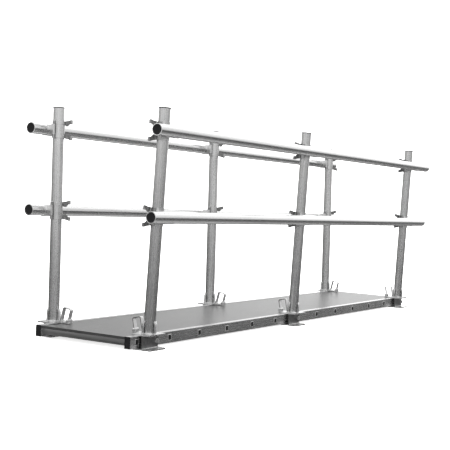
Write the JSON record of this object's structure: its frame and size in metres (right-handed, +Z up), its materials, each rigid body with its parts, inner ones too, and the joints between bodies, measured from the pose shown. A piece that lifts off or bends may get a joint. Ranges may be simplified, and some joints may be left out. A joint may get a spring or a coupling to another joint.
{
  "type": "staging board with double guard rails",
  "caption": "Long narrow staging board with hollow rungs, clamp-on leaning posts, tube guard rails held by hinged couplers, and hinged toe board clips.",
  "frame": {"origin": "bottom centre of the bounding box, on the plane under the six bottom plates, midway between the two stiles", "axes": "+X along the board towards the end where the rails overhang most, +Y across the board towards the far stile, +Z up"},
  "size_m": [3.727, 0.8556, 1.2095],
  "materials": {
    "black_plastic": "satin moulded",
    "board_alloy": "extruded mill finish, lightly scuffed",
    "rung_alloy": "mill finish",
    "member_alloy": "mill finish",
    "deck_board": "grey film-faced anti-slip panel",
    "post_tube": "drawn tube with fine lengthwise lines",
    "rail_tube": "drawn tube, brighter",
    "bracket_zinc": "zinc plated plate",
    "pad_rubber": "matt",
    "fastener_zinc": "zinc plated",
    "clip_steel": "zinc plated strap",
    "saddle_zinc": "zinc plated pressing",
    "flap_zinc": "zinc plated pressing"
  },
  "bodies": {
    "frame": {"stile_near": "board_alloy", "stile_far": "board_alloy", "rungs": "rung_alloy", "end_member_left": "member_alloy", "end_member_right": "member_alloy", "deck_panel": "deck_board", "stile_caps": "black_plastic", "post_n1": "post_tube", "post_n2": "post_tube", "post_n3": "post_tube", "post_f1": "post_tube", "post_f2": "post_tube", "post_f3": "post_tube", "post_caps": "black_plastic", "bracket_n1": "bracket_zinc", "bracket_n2": "bracket_zinc", "bracket_n3": "bracket_zinc", "bracket_f1": "bracket_zinc", "bracket_f2": "bracket_zinc", "bracket_f3": "bracket_zinc", "clamp_bolts": "fastener_zinc", "clamp_nuts": "fastener_zinc", "clamp_washers": "fastener_zinc", "clamp_pads": "pad_rubber", "clip_pins": "fastener_zinc", "rail_near_top": "rail_tube", "rail_near_mid": "rail_tube", "rail_far_top": "rail_tube", "rail_far_mid": "rail_tube", "rail_plugs": "black_plastic", "saddles_near_top": "saddle_zinc", "saddles_near_mid": "saddle_zinc", "saddles_far_top": "saddle_zinc", "saddles_far_mid": "saddle_zinc", "hinge_pins": "fastener_zinc"},
    "flap_n1_top": {"flap_n1_top": "flap_zinc"},
    "flap_n1_mid": {"flap_n1_mid": "flap_zinc"},
    "flap_n2_top": {"flap_n2_top": "flap_zinc"},
    "flap_n2_mid": {"flap_n2_mid": "flap_zinc"},
    "flap_n3_top": {"flap_n3_top": "flap_zinc"},
    "flap_n3_mid": {"flap_n3_mid": "flap_zinc"},
    "flap_f1_top": {"flap_f1_top": "flap_zinc"},
    "flap_f1_mid": {"flap_f1_mid": "flap_zinc"},
    "flap_f2_top": {"flap_f2_top": "flap_zinc"},
    "flap_f2_mid": {"flap_f2_mid": "flap_zinc"},
    "flap_f3_top": {"flap_f3_top": "flap_zinc"},
    "flap_f3_mid": {"flap_f3_mid": "flap_zinc"},
    "clip_n1": {"clip_n1": "clip_steel"},
    "clip_n2": {"clip_n2": "clip_steel"},
    "clip_n3": {"clip_n3": "clip_steel"},
    "clip_f1": {"clip_f1": "clip_steel"},
    "clip_f2": {"clip_f2": "clip_steel"},
    "clip_f3": {"clip_f3": "clip_steel"}
  },
  "joints": [
    {"name": "flap_n1_top_hinge", "type": "hinge", "parent": "frame", "child": "flap_n1_top", "pos_m": [-1.6735, -0.33466, 1.09015], "axis": [0, 0.0262, -0.9997], "range_deg": [0, 100]},
    {"name": "flap_n1_mid_hinge", "type": "hinge", "parent": "frame", "child": "flap_n1_mid", "pos_m": [-1.6735, -0.3235, 0.6638], "axis": [0, 0.0262, -0.9997], "range_deg": [0, 100]},
    {"name": "flap_n2_top_hinge", "type": "hinge", "parent": "frame", "child": "flap_n2_top", "pos_m": [-0.0935, -0.33466, 1.09015], "axis": [0, 0.0262, -0.9997], "range_deg": [0, 100]},
    {"name": "flap_n2_mid_hinge", "type": "hinge", "parent": "frame", "child": "flap_n2_mid", "pos_m": [-0.0935, -0.3235, 0.6638], "axis": [0, 0.0262, -0.9997], "range_deg": [0, 100]},
    {"name": "flap_n3_top_hinge", "type": "hinge", "parent": "frame", "child": "flap_n3_top", "pos_m": [1.6765, -0.33466, 1.09015], "axis": [0, 0.0262, -0.9997], "range_deg": [0, 100]},
    {"name": "flap_n3_mid_hinge", "type": "hinge", "parent": "frame", "child": "flap_n3_mid", "pos_m": [1.6765, -0.3235, 0.6638], "axis": [0, 0.0262, -0.9997], "range_deg": [0, 100]},
    {"name": "flap_f1_top_hinge", "type": "hinge", "parent": "frame", "child": "flap_f1_top", "pos_m": [-1.7535, 0.33466, 1.09015], "axis": [0, -0.0262, -0.9997], "range_deg": [0, 100]},
    {"name": "flap_f1_mid_hinge", "type": "hinge", "parent": "frame", "child": "flap_f1_mid", "pos_m": [-1.7535, 0.3235, 0.6638], "axis": [0, -0.0262, -0.9997], "range_deg": [0, 100]},
    {"name": "flap_f2_top_hinge", "type": "hinge", "parent": "frame", "child": "flap_f2_top", "pos_m": [-0.1735, 0.33466, 1.09015], "axis": [0, -0.0262, -0.9997], "range_deg": [0, 100]},
    {"name": "flap_f2_mid_hinge", "type": "hinge", "parent": "frame", "child": "flap_f2_mid", "pos_m": [-0.1735, 0.3235, 0.6638], "axis": [0, -0.0262, -0.9997], "range_deg": [0, 100]},
    {"name": "flap_f3_top_hinge", "type": "hinge", "parent": "frame", "child": "flap_f3_top", "pos_m": [1.5965, 0.33466, 1.09015], "axis": [0, -0.0262, -0.9997], "range_deg": [0, 100]},
    {"name": "flap_f3_mid_hinge", "type": "hinge", "parent": "frame", "child": "flap_f3_mid", "pos_m": [1.5965, 0.3235, 0.6638], "axis": [0, -0.0262, -0.9997], "range_deg": [0, 100]},
    {"name": "clip_n1_hinge", "type": "hinge", "parent": "frame", "child": "clip_n1", "pos_m": [-1.6985, -0.214, 0.09], "axis": [-1, 0, 0], "range_deg": [0, 90]},
    {"name": "clip_n2_hinge", "type": "hinge", "parent": "frame", "child": "clip_n2", "pos_m": [-0.1185, -0.214, 0.09], "axis": [-1, 0, 0], "range_deg": [0, 90]},
    {"name": "clip_n3_hinge", "type": "hinge", "parent": "frame", "child": "clip_n3", "pos_m": [1.6515, -0.214, 0.09], "axis": [-1, 0, 0], "range_deg": [0, 90]},
    {"name": "clip_f1_hinge", "type": "hinge", "parent": "frame", "child": "clip_f1", "pos_m": [-1.6985, 0.214, 0.09], "axis": [1, 0, 0], "range_deg": [0, 90]},
    {"name": "clip_f2_hinge", "type": "hinge", "parent": "frame", "child": "clip_f2", "pos_m": [-0.1185, 0.214, 0.09], "axis": [1, 0, 0], "range_deg": [0, 90]},
    {"name": "clip_f3_hinge", "type": "hinge", "parent": "frame", "child": "clip_f3", "pos_m": [1.6515, 0.214, 0.09], "axis": [1, 0, 0], "range_deg": [0, 90]}
  ]
}
